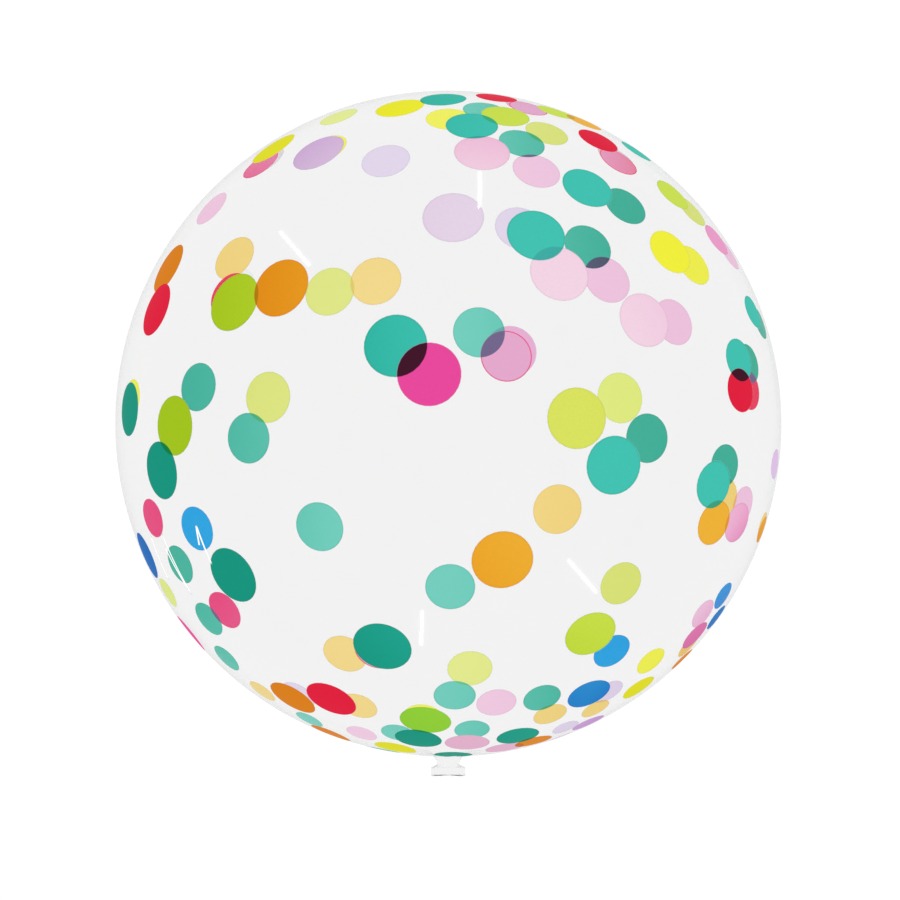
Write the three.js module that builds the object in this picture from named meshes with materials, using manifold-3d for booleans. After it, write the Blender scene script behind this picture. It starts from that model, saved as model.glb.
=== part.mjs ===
// A clear bubble balloon: one round bag of glossy film with a short neck moulded in one with it.
// The neck's end is pressed flat and welded shut. The bubble lies on its side on a small flat spot,
// with its neck level and pointing along -Y, so the crown is at +Y.
// Millimetres, +Z up. The origin is the middle of the flat spot, on the surface it lies on.
// The bubble is sealed and full of air, so it is one solid body.

import * as THREE from 'three';
import { mergeVertices } from 'three/addons/utils/BufferGeometryUtils.js';
import Module from 'manifold-3d';

// The round bubble
const BUBBLE_DIAMETER = 450; // blown full
const SPOT_RADIUS = 25; // the small flat spot that it lies on

// The neck, from the bubble outwards
const NECK_DIAMETER = 15; // the round throat
const NECK_LENGTH = 16; // how far the neck stands out past the ball
const NECK_BLEND = 9; // radius of the hollow curve from the ball into the throat
const WELD_LENGTH = 5; // the flat band at the end, welded shut
const WELD_THICKNESS = 1.2; // two films and the weld's ridge

// How finely the faces are cut
const SIDES_AROUND = 72; // around the neck's axis
const STEPS_IN_HALF = 17; // from the neck's blend to the widest ring, and from there to the crown
const STEPS_IN_BLEND = 5;
const STEPS_IN_NECK = 4; // from the round throat to the flat weld

const FILM_COLOUR = 0xeef3f5;
const FILM_ROUGHNESS = 0.08;
const FILM_OPACITY = 0.35;

const RADIUS = BUBBLE_DIAMETER / 2;
const THROAT = NECK_DIAMETER / 2;
const LYING_HEIGHT = Math.sqrt(RADIUS ** 2 - SPOT_RADIUS ** 2); // the ball's middle above the surface
const WELD_WIDTH = (Math.PI * NECK_DIAMETER) / 2; // a tube pressed flat is half its girth wide
const WELD_END = -(RADIUS + NECK_LENGTH);
const WELD_START = WELD_END + WELD_LENGTH;

// The hollow blend is an arc that touches the ball and the throat. Its middle is off the axis by the
// throat and the blend together, and off the ball's middle by the ball and the blend together.
const BLEND_OUT = THROAT + NECK_BLEND;
const BLEND_Y = -Math.sqrt((RADIUS + NECK_BLEND) ** 2 - BLEND_OUT ** 2);
const BLEND_ANGLE = Math.atan2(-BLEND_Y, BLEND_OUT); // from level to the line to the ball's middle

// Half the outline, from the end of the neck to the crown: distance from the axis, then y.
function outline() {
  const points = [new THREE.Vector2(0, WELD_END), new THREE.Vector2(THROAT, WELD_END)];
  for (let i = 0; i <= STEPS_IN_NECK; i += 1) {
    const y = THREE.MathUtils.lerp(WELD_START, BLEND_Y, i / STEPS_IN_NECK);
    points.push(new THREE.Vector2(THROAT, y));
  }
  for (let i = 1; i <= STEPS_IN_BLEND; i += 1) {
    const angle = (BLEND_ANGLE * i) / STEPS_IN_BLEND;
    const out = BLEND_OUT - NECK_BLEND * Math.cos(angle);
    points.push(new THREE.Vector2(out, BLEND_Y + NECK_BLEND * Math.sin(angle)));
  }
  for (const [from, to] of [[-BLEND_ANGLE, 0], [0, Math.PI / 2]]) {
    for (let i = 1; i <= STEPS_IN_HALF; i += 1) {
      const angle = THREE.MathUtils.lerp(from, to, i / STEPS_IN_HALF);
      points.push(new THREE.Vector2(RADIUS * Math.cos(angle), RADIUS * Math.sin(angle)));
    }
  }
  points[points.length - 1].x = 0; // the crown is on the axis
  return points;
}

// Presses the round neck flat towards its end. The film doesn't stretch, so what the neck loses in
// height it gains in width.
function pressNeckFlat(geometry) {
  const place = geometry.attributes.position;
  for (let i = 0; i < place.count; i += 1) {
    const flat = THREE.MathUtils.smoothstep(-place.getY(i), -BLEND_Y, -WELD_START);
    const wide = THREE.MathUtils.lerp(1, WELD_WIDTH / NECK_DIAMETER, flat);
    const high = THREE.MathUtils.lerp(1, WELD_THICKNESS / NECK_DIAMETER, flat);
    place.setX(i, place.getX(i) * wide);
    place.setZ(i, place.getZ(i) * high);
  }
}

const wasm = await Module();
wasm.setup();

// A closed three.js geometry as a solid that can be cut.
function toSolid(geometry) {
  const bare = geometry.clone();
  bare.deleteAttribute('normal');
  bare.deleteAttribute('uv');
  const merged = mergeVertices(bare);
  const triangles = [];
  for (let i = 0; i < merged.index.count; i += 3) {
    const [a, b, c] = [0, 1, 2].map((corner) => merged.index.getX(i + corner));
    if (a !== b && b !== c && c !== a) {
      triangles.push(a, b, c);
    }
  }
  return new wasm.Manifold(new wasm.Mesh({
    numProp: 3,
    vertProperties: merged.attributes.position.array,
    triVerts: new Uint32Array(triangles),
  }));
}

// A solid as a three.js geometry.
function toGeometry(solid) {
  const { vertProperties, triVerts } = solid.getMesh();
  const geometry = new THREE.BufferGeometry();
  geometry.setAttribute('position', new THREE.BufferAttribute(new Float32Array(vertProperties), 3));
  geometry.setIndex(new THREE.BufferAttribute(new Uint32Array(triVerts), 1));
  geometry.computeVertexNormals();
  return geometry;
}

// The whole bubble, with its neck, standing on its flat spot at z = 0.
function makeBubble() {
  const ball = new THREE.LatheGeometry(outline(), SIDES_AROUND);
  pressNeckFlat(ball);
  ball.translate(0, 0, LYING_HEIGHT);
  const below = new THREE.BoxGeometry(RADIUS, RADIUS, RADIUS);
  below.translate(0, 0, -RADIUS / 2);
  return toGeometry(toSolid(ball).subtract(toSolid(below)));
}

const film = new THREE.MeshStandardMaterial({
  color: FILM_COLOUR,
  roughness: FILM_ROUGHNESS,
  metalness: 0,
  transparent: true,
  opacity: FILM_OPACITY,
});

const bubble = new THREE.Mesh(makeBubble(), film);
bubble.name = 'bubble';

const balloon = new THREE.Group();
balloon.add(bubble);

export default balloon;
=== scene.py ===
# %% [markdown]
# # A clear bubble balloon printed with confetti
#
# A bubble balloon is one bag of clear, glossy film, blown up until it is round and tight.
# Coloured dots are printed on it. This lesson blows up the film, prints it one ink at a time,
# mixes a see-through finish, and lights it on a white table with the camera looking down.

# %% Load the frame
import math

import bpy
from mathutils import Matrix, Vector


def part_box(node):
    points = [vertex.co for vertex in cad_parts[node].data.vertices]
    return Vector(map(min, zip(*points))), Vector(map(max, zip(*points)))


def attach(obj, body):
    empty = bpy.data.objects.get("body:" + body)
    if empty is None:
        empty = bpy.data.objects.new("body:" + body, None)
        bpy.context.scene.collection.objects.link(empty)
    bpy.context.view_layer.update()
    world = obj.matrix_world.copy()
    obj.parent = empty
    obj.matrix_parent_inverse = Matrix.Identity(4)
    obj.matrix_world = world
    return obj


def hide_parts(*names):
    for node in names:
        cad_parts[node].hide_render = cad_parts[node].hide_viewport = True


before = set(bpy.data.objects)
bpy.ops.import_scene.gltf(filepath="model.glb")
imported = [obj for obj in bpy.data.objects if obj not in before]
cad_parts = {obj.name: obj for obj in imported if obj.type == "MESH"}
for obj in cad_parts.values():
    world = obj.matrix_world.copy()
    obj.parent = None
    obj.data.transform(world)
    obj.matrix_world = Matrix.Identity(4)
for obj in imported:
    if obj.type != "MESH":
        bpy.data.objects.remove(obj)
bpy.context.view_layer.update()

# %% [markdown]
# ## The sizes
#
# The ball lies on a small flat spot, and its neck points along -Y. The frame's box gives the
# radius, the height of the ball's middle and the end of the neck, so the film can't drift away
# from the solid that it stands for. The neck's own small sizes are those of that solid.

# %% Sizes from the frame
low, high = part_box("bubble")
RADIUS = (high.x - low.x) / 2
MIDDLE = Vector((0, 0, high.z - RADIUS))
WELD_END = low.y
THROAT = 0.0075
NECK_BLEND = 0.009
WELD_LENGTH = 0.005
WELD_THICKNESS = 0.0012

WELD_START = WELD_END + WELD_LENGTH
WELD_WIDTH = math.pi * THROAT
BLEND_OUT = THROAT + NECK_BLEND
BLEND_Y = -math.sqrt((RADIUS + NECK_BLEND) ** 2 - BLEND_OUT**2)
BLEND_ANGLE = math.atan2(-BLEND_Y, BLEND_OUT)
print("radius", round(RADIUS, 4), "middle", [round(v, 4) for v in MIDDLE])

# %% [markdown]
# ## Sums that write themselves as nodes
#
# Geometry Nodes and materials both do sums with Math nodes, one for each plus or times. Wiring
# those by hand is slow to read. So a small class holds one value on its way through a tree, and
# Python's own signs on it, such as `1 - mask`, add the Math nodes. Every other kind of node
# comes from one method, which makes a node's settings before it joins its sockets.


# %% A value in a tree, and the board it is wired on
class Flow:
    """One value on its way through a node tree. Sums on it add Math nodes."""

    def __init__(self, board, socket):
        self.board = board
        self.socket = socket

    def maths(self, operation, *values):
        return self.board.add("ShaderNodeMath", {"operation": operation}, dict(enumerate(values)))

    def __add__(self, other):
        return self.maths("ADD", self, other)

    def __sub__(self, other):
        return self.maths("SUBTRACT", self, other)

    def __mul__(self, other):
        return self.maths("MULTIPLY", self, other)

    def __pow__(self, other):
        return self.maths("POWER", self, other)

    def __neg__(self):
        return self.maths("MULTIPLY", self, -1)

    def __radd__(self, other):
        return self.maths("ADD", other, self)

    def __rsub__(self, other):
        return self.maths("SUBTRACT", other, self)

    def __rmul__(self, other):
        return self.maths("MULTIPLY", other, self)

    def cosine(self):
        return self.maths("COSINE", self)

    def size(self):
        return self.maths("ABSOLUTE", self)

    def root(self):
        return self.maths("SQRT", self)

    def no_more_than(self, other):
        return self.maths("MINIMUM", self, other)

    def at_least(self, other):
        return self.maths("MAXIMUM", self, other)

    def out(self, name):
        """Another output of the node that this value comes from."""
        return Flow(self.board, next(s for s in self.socket.node.outputs if s.name == name))


class Board:
    """A node tree, and the one way to add a node to it."""

    def __init__(self, tree):
        self.tree = tree

    def add(self, kind, settings=None, values=None):
        """Adds a node, makes its settings, then gives its sockets values or links."""
        node = self.tree.nodes.new(kind)
        for name, value in (settings or {}).items():
            setattr(node, name, value)
        sockets = [s for s in node.inputs if s.enabled]
        for name, value in (values or {}).items():
            socket = sockets[name] if isinstance(name, int) else next(s for s in sockets if s.name == name)
            if isinstance(value, Flow):
                self.tree.links.new(value.socket, socket)
            else:
                socket.default_value = value
        results = [s for s in node.outputs if s.enabled]
        return Flow(self, results[0]) if results else None

    def vector(self, operation, first, second):
        """Vector Math on two vectors, or on a vector and a number to scale it by."""
        return self.add("ShaderNodeVectorMath", {"operation": operation}, {0: first, 1: second})

    def ease(self, value, start, end):
        """0 before start, 1 past end, and a smooth slope between them."""
        smooth = {"interpolation_type": "SMOOTHSTEP"}
        return self.add("ShaderNodeMapRange", smooth, {0: value, 1: start, 2: end})

    def mix(self, share, first, second, how="MIX"):
        """A colour that goes from the first to the second, or to the two blended by a rule."""
        rule = {"data_type": "RGBA", "blend_type": how}
        return self.add("ShaderNodeMix", rule, {0: share, 1: first, 2: second})


# %% [markdown]
# ## Trees with named inputs
#
# A Geometry Nodes tree is a tool. It can be used again if its sizes are inputs with names. The
# first helper makes an empty tree with such inputs. A modifier keeps its inputs under the
# sockets' identifiers and not under their names, so another helper looks those up.


# %% Helpers for Geometry Nodes
def new_tree(title, inputs):
    """An empty Geometry Nodes tree, and a Flow for each of its named inputs."""
    tree = bpy.data.node_groups.new(title, "GeometryNodeTree")
    tree.interface.new_socket("Geometry", in_out="OUTPUT", socket_type="NodeSocketGeometry")
    for name, kind in inputs.items():
        tree.interface.new_socket(name, in_out="INPUT", socket_type="NodeSocket" + kind)
    board = Board(tree)
    start = board.add("NodeGroupInput")
    return board, {name: start.out(name) for name in inputs}


def end_tree(board, geometry, material):
    """Ends a tree with plain geometry that wears a material."""
    whole = board.add("GeometryNodeRealizeInstances", None, {"Geometry": geometry})
    worn = board.add("GeometryNodeSetMaterial", None, {"Geometry": whole, "Material": material})
    board.add("NodeGroupOutput", None, {"Geometry": worn})


def run_tree(board, obj, values):
    """Runs a tree on an object as a modifier and keeps what it makes as the object's plain mesh."""
    modifier = obj.modifiers.new(board.tree.name, "NODES")
    modifier.node_group = board.tree
    for item in board.tree.interface.items_tree:
        if item.in_out == "INPUT" and item.name in values:
            modifier[item.identifier] = values[item.name]
    ready = bpy.context.evaluated_depsgraph_get()
    mesh = bpy.data.meshes.new_from_object(
        obj.evaluated_get(ready), preserve_all_data_layers=True, depsgraph=ready
    )
    obj.modifiers.remove(modifier)
    obj.data = mesh


def new_object(name, data):
    made = bpy.data.objects.new(name, data)
    bpy.context.scene.collection.objects.link(made)
    return made


# %% [markdown]
# ## The rings of the film
#
# The film is round about the neck's axis, so rings on that axis describe it: how far along
# each ring is, and how wide. They lie close in the neck, where the shape turns quickly. On the
# ball they lie as far apart as the faces are wide. The neck runs into the ball through a
# hollow curve, an arc that touches both.

# %% The rings, from the end of the neck to the crown
SIDES = 392
WELD_RINGS = 24
NECK_RINGS = 12
BLEND_RINGS = 10
BALL_RINGS = 196
END_STEP = 0.00005
END_WIDTH = 0.9


def spread(start, end, steps):
    """Evenly spaced values after the start, up to the end."""
    return [start + (end - start) * i / steps for i in range(1, steps + 1)]


def film_rings():
    """(y, radius) of each ring."""
    made = [(WELD_END, 0), (WELD_END + END_STEP, THROAT * END_WIDTH)]
    made += [(y, THROAT) for y in spread(WELD_END + END_STEP, WELD_START, WELD_RINGS)]
    made += [(y, THROAT) for y in spread(WELD_START, BLEND_Y, NECK_RINGS)]
    for angle in spread(0, BLEND_ANGLE, BLEND_RINGS):
        wide = BLEND_OUT - NECK_BLEND * math.cos(angle)
        made.append((BLEND_Y + NECK_BLEND * math.sin(angle), wide))
    for angle in spread(-BLEND_ANGLE, math.pi / 2, BALL_RINGS):
        made.append((RADIUS * math.sin(angle), RADIUS * math.cos(angle)))
    return made


def neck_axis(rings):
    """The neck's axis as a line with one point for each ring, which carries the ring's radius."""
    curve = bpy.data.curves.new("neck_axis", "CURVE")
    curve.dimensions = "3D"
    line = curve.splines.new("POLY")
    line.points.add(len(rings) - 1)
    for point, (y, radius) in zip(line.points, rings):
        point.co = (0, y, 0, 1)
        point.radius = radius
    return new_object("neck_axis", curve)


rings = film_rings()
print("rings", len(rings), "sides", SIDES)

# %% [markdown]
# ## Blowing up the film
#
# The bag could be spun or lathed with a Screw modifier. Here Geometry Nodes do it, because the
# shape follows rules that are short as sums. A circle is swept along the axis, and each ring
# takes its own radius. Then the rules move the film. The neck is pressed flat towards its end,
# and gains in width what it loses in height. The weld gets the fine ribs of the hot jaws. Small
# gathers run out from the neck, where the film was held and couldn't stretch. At last the film
# is made level where it lies on the table.

# %% The tree that blows up the film
GATHERS = 26
LESSER_GATHERS = 17
GATHER_DEPTH = 0.0006
GATHER_REACH = 0.055
RIB_PITCH = 0.0009
RIB_SHARE = 0.08
SPOT_EASE = 0.0006
NEAREST = 0.000002
WAVES_PER_METRE = 7.0
WAVES_DETAIL = 1.0
WAVES_HEIGHT = 0.0006
NOISE_MIDDLE = 0.5


def blow_up(material):
    """The tree that turns the rings into the film."""
    inputs = {"Axis": "Object", "Sides": "Int", "Middle": "Vector"}
    board, given = new_tree("Blow up the film", inputs)
    axis = board.add("GeometryNodeObjectInfo", None, {"Object": given["Axis"]}).out("Geometry")
    circle = {"Resolution": given["Sides"], "Radius": 1.0}
    sweep = {
        "Curve": axis,
        "Profile Curve": board.add("GeometryNodeCurvePrimitiveCircle", None, circle),
        "Scale": board.add("GeometryNodeInputRadius"),
    }
    swept = board.add("GeometryNodeCurveToMesh", None, sweep)
    film = board.add("GeometryNodeMergeByDistance", None, {"Geometry": swept, "Distance": NEAREST})

    x = board.add("ShaderNodeSeparateXYZ", None, {0: board.add("GeometryNodeInputPosition")})
    y, z = x.out("Y"), x.out("Z")
    flat = board.ease(-y, -BLEND_Y, -WELD_START)
    wide = 1 + flat * (WELD_WIDTH / (2 * THROAT) - 1)
    high = 1 - flat * (1 - WELD_THICKNESS / (2 * THROAT))
    on_weld = board.ease(-y, -WELD_START, -WELD_START + RIB_PITCH)
    high = high * (1 + on_weld * (y * (math.tau / RIB_PITCH)).cosine() * RIB_SHARE)

    out = (x * x + z * z).root()
    around = z.maths("ARCTAN2", z, x)
    folds = (around * GATHERS).cosine() + (around * LESSER_GATHERS).cosine()
    held = board.ease(out, GATHER_REACH, BLEND_OUT) * board.ease(-y, 0, RADIUS / 2)
    gathered = y + folds * held * (GATHER_DEPTH / 2)
    pressed = {0: x * wide, 1: gathered, 2: z * high}
    film = board.add(
        "GeometryNodeSetPosition",
        None,
        {"Geometry": film, "Position": board.add("ShaderNodeCombineXYZ", None, pressed)},
    )

    here = board.add("GeometryNodeInputPosition")
    outwards = board.add("ShaderNodeVectorMath", {"operation": "NORMALIZE"}, {0: here})
    noise = {"Vector": here, "Scale": WAVES_PER_METRE, "Detail": WAVES_DETAIL}
    wave = (board.add("ShaderNodeTexNoise", None, noise) - NOISE_MIDDLE) * WAVES_HEIGHT
    shift = board.vector("ADD", board.vector("SCALE", outwards, wave), given["Middle"])
    film = board.add("GeometryNodeSetPosition", None, {"Geometry": film, "Offset": shift})

    x = board.add("ShaderNodeSeparateXYZ", None, {0: board.add("GeometryNodeInputPosition")})
    level = x.maths("SMOOTH_MAX", x.out("Z"), 0, SPOT_EASE)
    lying = board.add("ShaderNodeCombineXYZ", None, {0: x, 1: x.out("Y"), 2: level})
    film = board.add("GeometryNodeSetPosition", None, {"Geometry": film, "Position": lying})
    film = board.add("GeometryNodeSetShadeSmooth", None, {"Geometry": film})
    end_tree(board, film, material)
    return board


# %% Blow up the bubble
film_finish = bpy.data.materials.new("printed_film")
bubble = new_object("bubble_film", bpy.data.meshes.new("bubble_film"))
axis = neck_axis(rings)
run_tree(blow_up(film_finish), bubble, {"Axis": axis, "Sides": SIDES, "Middle": MIDDLE})
bpy.data.objects.remove(axis)


WEDGES_IN_BOX = 6


def volume(mesh):
    """The space inside a closed mesh. It is below zero where the faces point inwards."""
    mesh.calc_loop_triangles()
    corners = [[mesh.vertices[i].co for i in face.vertices] for face in mesh.loop_triangles]
    return sum(a.dot(b.cross(c)) for a, b, c in corners) / WEDGES_IN_BOX


ball = 4 / 3 * math.pi * RADIUS**3
print("film", len(bubble.data.vertices), "corners,", len(bubble.data.loop_triangles), "triangles")
print("volume over a ball's", round(volume(bubble.data) / ball, 4))

# %% [markdown]
# ## The confetti
#
# The print is a scatter of round dots in eleven inks, some touching or crossing. The bag is made
# flat from two films, and both carry the same artwork. So the dots of the front come again on
# the back, mirrored, and a little askew because the two films were not laid quite true. At one
# side seam the artwork is cut off sooner on the front, so the last dots come on the back alone.
# A few more are marked with the one film that they are on. Some of those are pairs, because the
# two films differ there by more than the skew.
#
# A dot is placed by two angles from the middle of the artwork: round the neck's axis, and
# towards the crown. The film stretches most near the middle, so the dots there are largest. Near
# the seam it stretches more outwards than along the seam, which leaves the dots there longish.

# %% The dots of each ink, in degrees round and degrees towards the crown
CONFETTI = {
    "pale_lime": [(27.5, 3.5), (-77, 65.5), (-94, -32)],
    "yellow": [(-56, 55), (-16, 69), (54, 31), (65, -49), (-20, -70), (-85.5, 2)],
    "lilac": [(-31, 53), (8, 37.5), (82, -6), (75, -69), (-71, -59)]
    + [(64, -60.5, "front"), (61, -58, "back")],
    "pink": [(16, 52.5), (27, 27), (42, 19), (77, 33.5), (66, -15), (71.5, -37)]
    + [(-82, 38), (14.5, -65), (-76, -73.5), (36, -70, "front")],
    "lime": [(-33, 22), (30, 65), (35.5, -33.5), (-43.5, 1.5), (70, 43)]
    + [(65, 68, "front")],
    "leaf": [(0.5, -55)],
    "orange": [(-23.5, 24.5), (-60, 28), (16, -19), (58, -14.5), (83, -17.5), (80, -43.5)]
    + [(47, -67), (69, -62.5, "back"), (-38, -50.5), (-48.5, -65), (-91.5, -55.5)]
    + [(73, 64, "front")],
    "blue": [(79.5, -34, "front"), (77, -32.5, "back"), (44.5, -48.5), (-66, -22)],
    "teal": [(-1.5, 15), (24, 34), (40, 44), (15, 61), (34, -4), (56, -8), (65, 12), (78, 20)]
    + [(-6, -35.5), (-34, -23), (-48, -6), (-61, 3.5), (4, 74), (-4, -63), (33, -62.5)]
    + [(-77.5, -28), (-79, -39), (-88.5, -47), (-92.5, -65), (-47, -76), (10.5, -75.5)]
    + [(80, 54.5, "front")],
    "magenta": [(4, 10.5), (-69.5, -38), (-82, -19), (-78, 49)],
    "red": [(-57, 20.5), (64, 7), (43, 76), (60, 57, "front"), (52.5, 56, "back")]
    + [(-24, -49.5, "front"), (-27.5, -50, "back")],
}
STRONG = ["magenta", "red"]
UNDERPRINT = "underprint"
UNDERPRINT_SHIFT = (0.9, 1.0)
CONFETTI[UNDERPRINT] = [
    (turn + UNDERPRINT_SHIFT[0], up + UNDERPRINT_SHIFT[1], *side)
    for ink in STRONG
    for turn, up, *side in CONFETTI[ink]
]
DOT = math.radians(5)
DOT_SHRINK = 0.37
DOT_LENGTHEN = 0.4
DOT_CHANGES_LATE = 3
PRINT_TURN = Matrix.Rotation(math.radians(-7), 3, "Y")
BACK_SKEW = math.radians(-1.8)
BACK_LIFT = 0.055
FRONT_STARTS = -70.5
FLIP = Matrix.Diagonal((1, 1, -1))


def heading(turn, up):
    """The way from the ball's middle to a spot of the artwork, before the print is turned."""
    turn, up = math.radians(turn), math.radians(up)
    return Vector((math.cos(up) * math.sin(turn), math.sin(up), math.cos(up) * math.cos(turn)))


STRETCHED_MOST = heading(-10, 5)


def dot_shape(way):
    """A dot's lesser radius across the film, and how many times as long its greater one is."""
    away = (way.angle(STRETCHED_MOST) / (math.pi / 2)) ** DOT_CHANGES_LATE
    longer = 1 + DOT_LENGTHEN * away
    size = DOT * (1 - DOT_SHRINK * away) / math.sqrt(longer)
    return 2 * RADIUS * math.sin(size / 2), longer


def dots_of(ink):
    """A loose point for each dot of an ink on each film that has it, with the dot's shape on it."""
    places = []
    widths = []
    lengths = []
    for turn, up, *side in CONFETTI[ink]:
        way = heading(turn, up)
        width, longer = dot_shape(way)
        outwards = (way.dot(STRETCHED_MOST) * way - STRETCHED_MOST).normalized()
        skew = Matrix.Rotation(BACK_SKEW * (1 + way.y), 3, "Z")
        lift = Vector((0, BACK_LIFT * max(0, way.x) * max(0, -way.y), 0))
        copies = []
        if turn > FRONT_STARTS and "back" not in side:
            copies.append((PRINT_TURN, way))
        if "front" not in side:
            copies.append((PRINT_TURN @ FLIP @ skew, (way + lift).normalized()))
        for onto, ready in copies:
            places.append(MIDDLE + RADIUS * (onto @ ready))
            widths.append(width)
            lengths.extend(math.sqrt(1 - 1 / longer**2) * (onto @ outwards))
    mesh = bpy.data.meshes.new(ink)
    mesh.from_pydata([tuple(place) for place in places], [], [])
    mesh.attributes.new("dot_radius", "FLOAT", "POINT").data.foreach_set("value", widths)
    mesh.attributes.new("dot_length", "FLOAT_VECTOR", "POINT").data.foreach_set("vector", lengths)
    return new_object(ink, mesh)


print("dots in the artwork", sum(len(dots) for dots in CONFETTI.values()))

# %% [markdown]
# ## Printing one ink at a time
#
# A dot could be a picture or a raised patch, but a picture blurs and ink has no height that
# shows. So each ink is a number on the film: how far a spot is from the edge of the nearest
# dot, below zero inside it. Geometry Nodes find the nearest dot for every corner of the mesh.
# The numbers run evenly between corners, so the finish can draw a sharp round edge where they
# cross zero. As on a press, the same tree runs once for each ink.

# %% The printing tree
def press():
    """The tree that writes one ink's distances on the film."""
    board, given = new_tree("Print one ink", {"Film": "Geometry", "Dots": "Object", "Ink": "String"})
    dots = board.add("GeometryNodeObjectInfo", None, {"Object": given["Dots"]}).out("Geometry")
    here = board.add("GeometryNodeInputPosition")
    nearest = board.add("GeometryNodeSampleNearest", None, {"Geometry": dots, "Sample Position": here})

    def of_nearest(kind, value):
        wanted = {"Geometry": dots, "Value": value, "Index": nearest}
        return board.add("GeometryNodeSampleIndex", {"data_type": kind}, wanted)

    def noted(kind, name):
        return board.add("GeometryNodeInputNamedAttribute", {"data_type": kind}, {"Name": name})

    offset = board.vector("SUBTRACT", here, of_nearest("FLOAT_VECTOR", here))
    width = of_nearest("FLOAT", noted("FLOAT", "dot_radius"))
    length = of_nearest("FLOAT_VECTOR", noted("FLOAT_VECTOR", "dot_length"))
    straight = board.vector("DOT_PRODUCT", offset, offset)
    lengthwise = board.vector("DOT_PRODUCT", offset, length)
    edge = (straight - lengthwise * lengthwise).root() - width
    written = {"Geometry": given["Film"], "Name": given["Ink"], "Value": edge}
    end_tree(board, board.add("GeometryNodeStoreNamedAttribute", None, written), film_finish)
    return board


printing = press()
for ink in CONFETTI:
    dots = dots_of(ink)
    run_tree(printing, bubble, {"Dots": dots, "Ink": ink})
    bpy.data.objects.remove(dots)
print("inks on the film", [a.name for a in bubble.data.attributes if a.name in CONFETTI])

# %% [markdown]
# ## The inks
#
# Each ink has two colours. The outside shows it on clean film. The inside shows it through the
# film, and paler: the paleness is painted light, for the room's light that comes in from behind.
# Lilac is deeper near the side seams, and so is pink but for the part by the neck. Printing ink
# lets some light through, so where two dots cross, the upper one is deepened by the one below it.
# Teal swallows the red that magenta gives back, so those crossings are nearly black.

# %% Ink colours
WHITE = (1, 1, 1, 1)
SCREEN_STEPS = 255
DARK_END = 0.04045
DARK_SLOPE = 12.92
CURVE_SHIFT = 0.055
CURVE_POWER = 2.4


def as_light(step):
    """One screen value as the light that a shader sums with, by the usual screen curve."""
    share = step / SCREEN_STEPS
    if share <= DARK_END:
        return share / DARK_SLOPE
    return ((share + CURVE_SHIFT) / (1 + CURVE_SHIFT)) ** CURVE_POWER


def paint(red, green, blue):
    """A colour named by its screen values."""
    return (as_light(red), as_light(green), as_light(blue), 1)


# Outside colour, then inside colour; the inside one is paler as painted light from behind.
INKS = {
    UNDERPRINT: (WHITE, paint(232, 183, 215)),
    "pale_lime": (paint(203, 213, 78), paint(222, 233, 128)),
    "yellow": (paint(230, 228, 44), paint(238, 238, 76)),
    "lilac": (paint(216, 197, 218), paint(221, 208, 231)),
    "pink": (paint(231, 198, 216), paint(237, 195, 221)),
    "lime": (paint(189, 212, 64), paint(216, 225, 120)),
    "leaf": (paint(173, 217, 95), paint(222, 230, 128)),
    "orange": (paint(227, 163, 40), paint(238, 209, 124)),
    "blue": (paint(52, 146, 205), paint(34, 164, 224)),
    "teal": (paint(50, 179, 162), paint(98, 197, 179)),
}
STRONG_INKS = {
    "magenta": (paint(222, 66, 148), paint(228, 68, 124)),
    "red": (paint(216, 22, 56), paint(230, 54, 88)),
}
SEAM_INKS = {"pink": paint(222, 140, 186), "lilac": paint(210, 178, 218)}
UNDERPRINT_BEHIND = paint(226, 164, 202)
STRONG_LINE = 0.0008
SHOWS_THROUGH = 0.6
DARK_CROSSING = (paint(58, 8, 32), paint(108, 95, 135))
PALE_CROSSING = paint(112, 118, 140)


def lay_inks(board, masks, from_inside, at_seam):
    """The colour of the inks that let light through, laid one over another."""
    colour = WHITE
    for ink, (outside, inside) in INKS.items():
        if ink in SEAM_INKS:
            outside = board.mix(at_seam[ink], outside, SEAM_INKS[ink])
        # From inside an ink takes its paler colour, which is painted light from behind.
        own = board.mix(from_inside, outside, inside)
        own = board.mix(SHOWS_THROUGH, own, colour, "MULTIPLY")
        colour = board.mix(masks[ink], colour, own)
    return board.mix(masks["teal"] * masks["pink"] * from_inside, colour, PALE_CROSSING)


# %% [markdown]
# ## The strong inks
#
# Magenta and red lie thick, and look the same all over the bag. Under them is a pale underprint,
# a shade out of place. From outside it can't be seen. From inside it covers them but for a thin
# line, and a crescent of it looks out beside them. Near the side seams it is worn thin.

# %% Laying the strong inks
def lay_strong_inks(board, colour, masks, from_inside, behind):
    """The strong inks on top of the others, and the pale underprint on their inner side."""
    for ink, sides in STRONG_INKS.items():
        colour = board.mix(masks[ink], colour, board.mix(from_inside, *sides))
    colour = board.mix(behind, colour, UNDERPRINT_BEHIND)
    dark = board.mix(from_inside, *DARK_CROSSING)
    return board.mix(masks["teal"] * (masks["magenta"] + masks["red"]), colour, dark)
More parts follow.
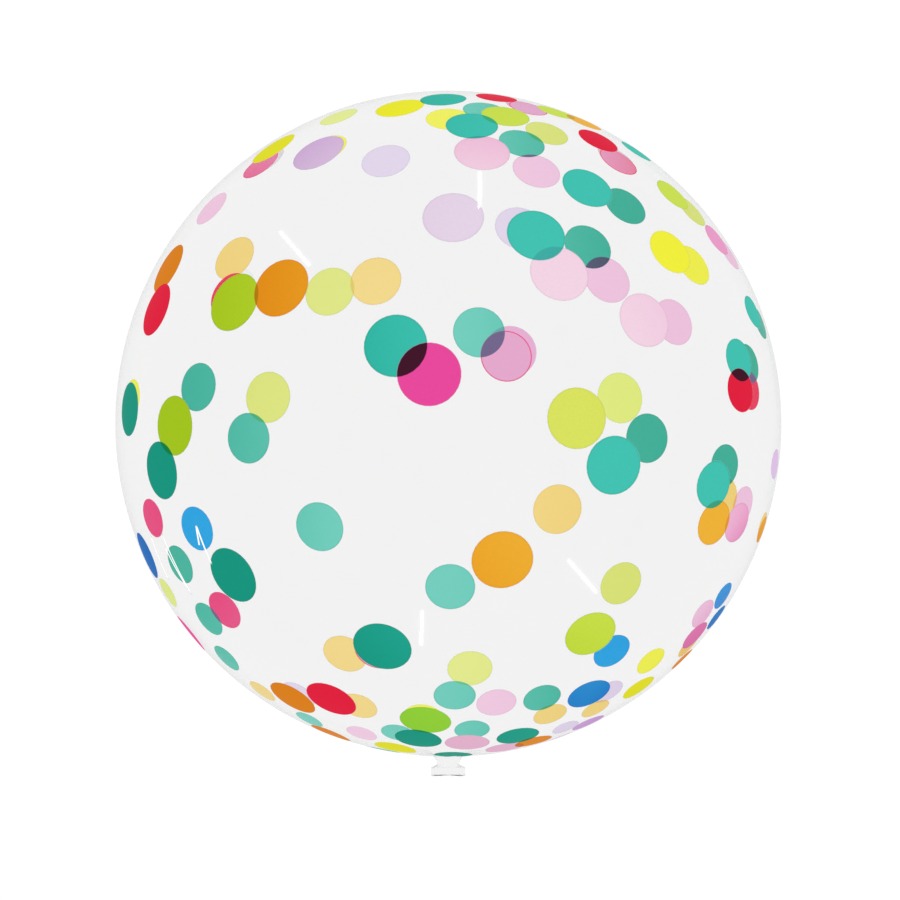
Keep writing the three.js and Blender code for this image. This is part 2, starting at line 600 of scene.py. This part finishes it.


# %% [markdown]
# ## How dense the ink lies, with painted light and shade
#
# Denser ink of the same kind has a deeper colour, and a Gamma node does just that: it deepens a
# colour as if the light had to pass more of it. Here the density also carries painted light and
# shade. On the front the ink is paler towards one side of the artwork, as painted light, and
# deeper towards the other, as painted shade. On the back it is palest near the middle and
# deeper to both sides in painted shade, teal most of all. Low at one side it is denser on both.
# Ink also gathers in a fine bead at the edge of each dot.

# %% Ink density, with painted light and shade
# Painted light and shade: front ink paler to one side, deeper to the other; back deeper to its sides.
PAINTED_LIGHT_FROM = (0.75, 0.35, 0.56)
DENSITY_PAINTED_LIT = 0.9
DENSITY_PAINTED_SHADE = 1.65
PAINTED_LIGHT_STARTS = -0.15
PAINTED_LIGHT_ENDS = 0.75
DENSITY_BEHIND = 0.88
DENSER_IN_PAINTED_SHADE = 0.65
PALE_SHARE = 0.3
BACK_PAINTED_LIGHT_AT = -0.25
DENSER_START = 0.15
DENSER_END = 0.8
SIDES_START = 0.3
SIDES_END = 0.8
SEAM_STARTS = 0.2
SEAM_ENDS = 0.8
NECK_STARTS = 0.65
NECK_ENDS = 0.9
LOW_SIDE = heading(80, -38)
LOW_SIDE_START = 0.88
LOW_SIDE_END = 0.97
DENSER_LOW = 0.45
BEAD_WIDTH = 0.0012
BEAD = 0.25


def along(board, place, way):
    """How far a place on the ball lies along a way: 1 where the way points to, -1 opposite it."""
    from_middle = board.vector("SUBTRACT", place, tuple(MIDDLE))
    return board.vector("DOT_PRODUCT", from_middle, tuple(Vector(way) / RADIUS))


def ink_density_and_painted_shade(board, masks, place, printed, from_inside, across):
    """How many times as dense as usual the ink lies, with painted light and shade in it."""
    # Paler towards one side, deeper towards the other: painted light and shade.
    towards_painted_light = board.ease(along(board, place, PAINTED_LIGHT_FROM), PAINTED_LIGHT_STARTS, PAINTED_LIGHT_ENDS)
    front = DENSITY_PAINTED_SHADE - (DENSITY_PAINTED_SHADE - DENSITY_PAINTED_LIT) * towards_painted_light
    into_back_painted_shade = board.ease((across - BACK_PAINTED_LIGHT_AT).size(), DENSER_START, DENSER_END)
    share = PALE_SHARE + (1 - PALE_SHARE) * masks["teal"]
    back = DENSITY_BEHIND + into_back_painted_shade * share * DENSER_IN_PAINTED_SHADE
    bead = board.add("ShaderNodeMapRange", None, {0: printed, 1: -BEAD_WIDTH, 2: 0.0})
    low_side = board.ease(along(board, place, PRINT_TURN @ LOW_SIDE), LOW_SIDE_START, LOW_SIDE_END)
    return front + (back - front) * from_inside + low_side * DENSER_LOW + bead * BEAD


# %% [markdown]
# ## Creases, shown as painted highlights
#
# A full bag pulls a little at one side seam, and a few short creases run in from there. Each
# shows as a painted highlight: a white line no wider than a thread, laid into the film's colour.
# Two headings give its ends. The line between them is the edge of a flat cut through the ball's
# middle, so a spot is on it if it is close to that cut and not too far from the line's own
# middle. Both tests are one dot product each. The lines could be thin wires on the film, but a
# crease has no height that shows. They show from outside alone.

# %% Creases, from end to end in degrees
CREASES = [
    ((-40, -14.5), (-40.5, -18.5)),
    ((-40, -14.5), (-38.5, -21.5)),
    ((-57.5, -17.5), (-57, -26)),
    ((-52, -16.5), (-49, -28)),
    ((-52.5, -19), (-49.5, -27)),
]
CREASE_HALF_WIDTH = 0.00055
CREASE_FADES = 0.3
HALF_CREASE = CREASE_HALF_WIDTH / RADIUS


def crease_highlight(board, place):
    """1 on a crease's painted highlight and 0 off it."""
    most = None
    for ends in CREASES:
        first, last = (PRINT_TURN @ heading(*end) for end in ends)
        middle = (first + last).normalized()
        aside = along(board, place, first.cross(last).normalized()).size()
        thin = 1 - board.ease(aside, HALF_CREASE, 2 * HALF_CREASE)
        reach = first.dot(middle)
        full = reach + (1 - reach) * CREASE_FADES
        line = thin * board.ease(along(board, place, middle), reach, full)
        most = line if most is None else most.at_least(line)
    return most


# %% [markdown]
# ## The see-through finish
#
# Clear film lets nearly all light through, dims a little of it, and mirrors a little. Seen edge
# on it scatters more, which gives a clear ball its outline. Ink hides what is behind it, and it
# is as glossy as the film. So the finish has three shaders: a clear one and a coloured one,
# mixed by where the ink is, and a mirror mixed over both. A glass shader would bend light as if
# the ball were solid. The shares come from the angle alone, the same on both faces, because
# film is too thin to bend or trap light as the wall of a solid does.

# %% The film's finish
EDGE = 0.00025
HAZE = 0.08
HAZE_AT_EDGE = 0.55
HAZE_RISE = 12
HAZE_FACE_ON = (0.08, 0.08, 0.08, 1)
HAZE_EDGE_ON = (0.75, 0.76, 0.77, 1)
HAZE_PALES = 6
MIRROR_FACE_ON = 0.006
MIRROR_EDGE_ON = 0.08
MIRROR_RISE = 6
FILM_ROUGHNESS = 0.05
INK_ROUGHNESS = 0.5
EVEN_BLEND = 0.5
GRAIN_SCALE = 700.0
GRAIN_DETAIL = 1.0
GRAIN = 0.08
BLACK = (0, 0, 0, 1)


def inside_of(board, distance):
    """1 where a distance is below zero, 0 where it is above, and a narrow slope between them."""
    return board.add("ShaderNodeMapRange", None, {0: distance, 1: EDGE, 2: -EDGE})


def finish_film(material):
    """Wires the film's finish."""
    material.use_nodes = True
    material.node_tree.nodes.clear()
    board = Board(material.node_tree)
    from_inside = board.add("ShaderNodeNewGeometry").out("Backfacing")
    place = board.add("ShaderNodeTexCoord").out("Object")

    edges = {}
    masks = {}
    for ink in CONFETTI:
        edges[ink] = board.add("ShaderNodeAttribute", {"attribute_name": ink}).out("Fac")
        masks[ink] = inside_of(board, edges[ink])
    strong = edges["magenta"].no_more_than(edges["red"])
    printed = strong
    for ink in INKS:
        if ink != UNDERPRINT:
            printed = printed.no_more_than(edges[ink])
    across = along(board, place, PRINT_TURN @ Vector((1, 0, 0)))
    unworn = from_inside * (1 - board.ease(across.size(), SIDES_START, SIDES_END))
    masks[UNDERPRINT] = masks[UNDERPRINT] * unworn
    inked = inside_of(board, printed).at_least(masks[UNDERPRINT])

    from_seam = along(board, place, PRINT_TURN @ Vector((0, 0, 1))).size()
    seam = 1 - board.ease(from_seam, SEAM_STARTS, SEAM_ENDS)
    near_neck = board.ease(along(board, place, (0, -1, 0)), NECK_STARTS, NECK_ENDS)
    at_seam = {"pink": seam * (1 - near_neck), "lilac": seam}
    # The density carries painted light and shade as well as the bead at each dot's edge.
    density_and_painted_shade = ink_density_and_painted_shade(board, masks, place, printed, from_inside, across)
    laid = lay_inks(board, masks, from_inside, at_seam)
    laid = board.add("ShaderNodeGamma", None, {0: laid, 1: density_and_painted_shade})
    behind = inside_of(board, strong + STRONG_LINE) * unworn
    laid = lay_strong_inks(board, laid, masks, from_inside, behind)
    specks = {"Vector": place, "Scale": GRAIN_SCALE, "Detail": GRAIN_DETAIL}
    grain = board.add("ShaderNodeTexNoise", None, specks)
    laid = board.mix(grain * GRAIN, laid, BLACK)

    edge_on = board.add("ShaderNodeLayerWeight", None, {"Blend": EVEN_BLEND}).out("Facing")
    haze = HAZE + (HAZE_AT_EDGE - HAZE) * edge_on**HAZE_RISE
    # Each crease is laid in as an opaque white line, a painted highlight.
    painted_crease_highlight = crease_highlight(board, place) * (1 - from_inside)
    laid = board.mix(painted_crease_highlight, laid, WHITE)
    marked = inked.at_least(painted_crease_highlight)
    hides = haze + marked * (1 - haze)
    mirrors = MIRROR_FACE_ON + (MIRROR_EDGE_ON - MIRROR_FACE_ON) * edge_on**MIRROR_RISE
    hazed = board.mix(edge_on**HAZE_PALES, HAZE_FACE_ON, HAZE_EDGE_ON)
    coloured = {
        "Base Color": board.mix(marked, hazed, laid),
        "Roughness": INK_ROUGHNESS,
        "Specular IOR Level": 0.0,
    }
    body = board.add("ShaderNodeBsdfPrincipled", None, coloured)
    clear = board.add("ShaderNodeBsdfTransparent", None, {"Color": WHITE})
    body = board.add("ShaderNodeMixShader", None, {0: hides, 1: clear, 2: body})
    mirror = board.add("ShaderNodeBsdfAnisotropic", None, {"Color": WHITE, "Roughness": FILM_ROUGHNESS})
    skin = board.add("ShaderNodeMixShader", None, {0: mirrors, 1: body, 2: mirror})
    board.add("ShaderNodeOutputMaterial", None, {"Surface": skin})


finish_film(film_finish)
print("nodes in the film's finish", len(film_finish.node_tree.nodes))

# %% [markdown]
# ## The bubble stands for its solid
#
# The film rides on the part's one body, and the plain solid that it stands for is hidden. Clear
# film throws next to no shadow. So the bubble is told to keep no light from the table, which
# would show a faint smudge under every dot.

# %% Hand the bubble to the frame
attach(bubble, "root")
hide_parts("bubble")
bubble.visible_diffuse = False

# %% [markdown]
# ## The table and the room
#
# The bubble lies on a white table. A wide plane just under the film stands for it, so that the
# two never share one level. A sun or a hard lamp would throw a smudge on the table for every
# dot. So the light comes evenly from the whole room, as inside a white tent.

# %% The table and the room's light
TABLE_SIZE = 12
TABLE_DROP = 0.0004
TABLE_WHITE = (0.90, 0.90, 0.90, 1)
TABLE_CLOUD = (0.89, 0.89, 0.89, 1)
TABLE_ROUGHNESS = 0.9
CLOUDS_PER_METRE = 3.0
ROOM_LIGHT = 1.15


def table_finish():
    """Matt white, a little uneven."""
    material = bpy.data.materials.new("white_table")
    material.use_nodes = True
    material.node_tree.nodes.clear()
    board = Board(material.node_tree)
    place = board.add("ShaderNodeTexCoord").out("Object")
    cloud = board.add("ShaderNodeTexNoise", None, {"Vector": place, "Scale": CLOUDS_PER_METRE})
    matt = {
        "Base Color": board.mix(cloud, TABLE_CLOUD, TABLE_WHITE),
        "Roughness": TABLE_ROUGHNESS,
        "Specular IOR Level": 0.0,
    }
    shader = board.add("ShaderNodeBsdfPrincipled", None, matt)
    board.add("ShaderNodeOutputMaterial", None, {"Surface": shader})
    return material


half = TABLE_SIZE / 2
corners = [(-half, -half), (half, -half), (half, half), (-half, half)]
table_mesh = bpy.data.meshes.new("table")
table_mesh.from_pydata([(x, y, -TABLE_DROP) for x, y in corners], [], [(0, 1, 2, 3)])
table_mesh.materials.append(table_finish())
table = new_object("table", table_mesh)

room = bpy.data.worlds.new("white_room")
bpy.context.scene.world = room
room.use_nodes = True
room.node_tree.nodes.clear()
board = Board(room.node_tree)
air = board.add("ShaderNodeBackground", None, {"Color": WHITE, "Strength": ROOM_LIGHT})
board.add("ShaderNodeOutputWorld", None, {"Surface": air})

# %% [markdown]
# ## The narrow lamps
#
# Round shiny things show each lamp as a small picture. The even room shows as almost nothing,
# so two narrow upright lamps stand far round the bubble. They give it the thin bright
# streaks that say it is glossy. Each shows twice: on the near face, and upside down in the
# hollow of the far one. They are there for the shine alone, so they throw no shadows and leave
# matt things unlit, which also saves much of the time that a picture takes. For each lamp the
# list gives how far round it stands, how far it leans, both in degrees, and its height.

# %% The narrow lamps
NARROW = {"streak_lamp_top": (82.5, 3, 0.87), "streak_lamp_left": (131, 1.5, 1.08)}
NARROW_AWAY = 3.0
NARROW_WIDE = 0.014
NARROW_POWER_PER_METRE = 16.0


def narrow_lamp(name, turn, lean, tall):
    """A lamp as thin as a tube, standing on the table's level and turned to the bubble."""
    data = bpy.data.lights.new(name, "AREA")
    data.shape = "RECTANGLE"
    data.size = NARROW_WIDE
    data.size_y = tall
    data.energy = NARROW_POWER_PER_METRE * tall
    data.use_shadow = False
    lamp = new_object(name, data)
    out = Vector((math.cos(turn), math.sin(turn), 0))
    lamp.location = NARROW_AWAY * out + Vector((0, 0, tall / 2))
    facing = (-out).to_track_quat("-Z", "Y").to_matrix()
    lamp.rotation_euler = (facing @ Matrix.Rotation(lean, 3, "Z")).to_euler()
    lamp.visible_camera = False
    lamp.visible_diffuse = False
    return lamp


lamps = []
for name, (turn, lean, tall) in NARROW.items():
    lamps.append(narrow_lamp(name, math.radians(turn), math.radians(lean), tall))
print("lamps", [lamp.name for lamp in lamps])

# %% [markdown]
# ## The camera
#
# The camera looks down on the bubble as it lies, a little from the crown's side, so the crown is
# at the top of the picture. A long lens from two metres keeps the ball's outline nearly a true
# half of it. How much of the picture's width the ball fills gives the camera's distance.

# %% The camera
LENS = 120
SENSOR = 36
FILLS = 0.74
LEAN = math.radians(2.8)
AIM_SIDE = 0.002
AIM_BELOW = 0.029

spread_angle = math.atan(FILLS * SENSOR / 2 / LENS)
distance = RADIUS / math.sin(spread_angle)
back = Vector((0, math.sin(LEAN), math.cos(LEAN)))
right = Vector((1, 0, 0))
up = back.cross(right)
frame_width = distance * SENSOR / LENS
aim = MIDDLE + frame_width * (AIM_SIDE * right - AIM_BELOW * up)
place = MIDDLE + back * distance
back = (place - aim).normalized()
right = up.cross(back).normalized()
up = back.cross(right)
camera_data = bpy.data.cameras.new("camera")
camera_data.lens = LENS
camera_data.sensor_width = SENSOR
camera = new_object("camera", camera_data)
camera.matrix_world = Matrix.Translation(place) @ Matrix((right, up, back)).transposed().to_4x4()
bpy.context.scene.camera = camera
bpy.context.scene.view_settings.view_transform = "Standard"
print("camera at", [round(v, 3) for v in place], "from the ball's middle", round(distance, 3))
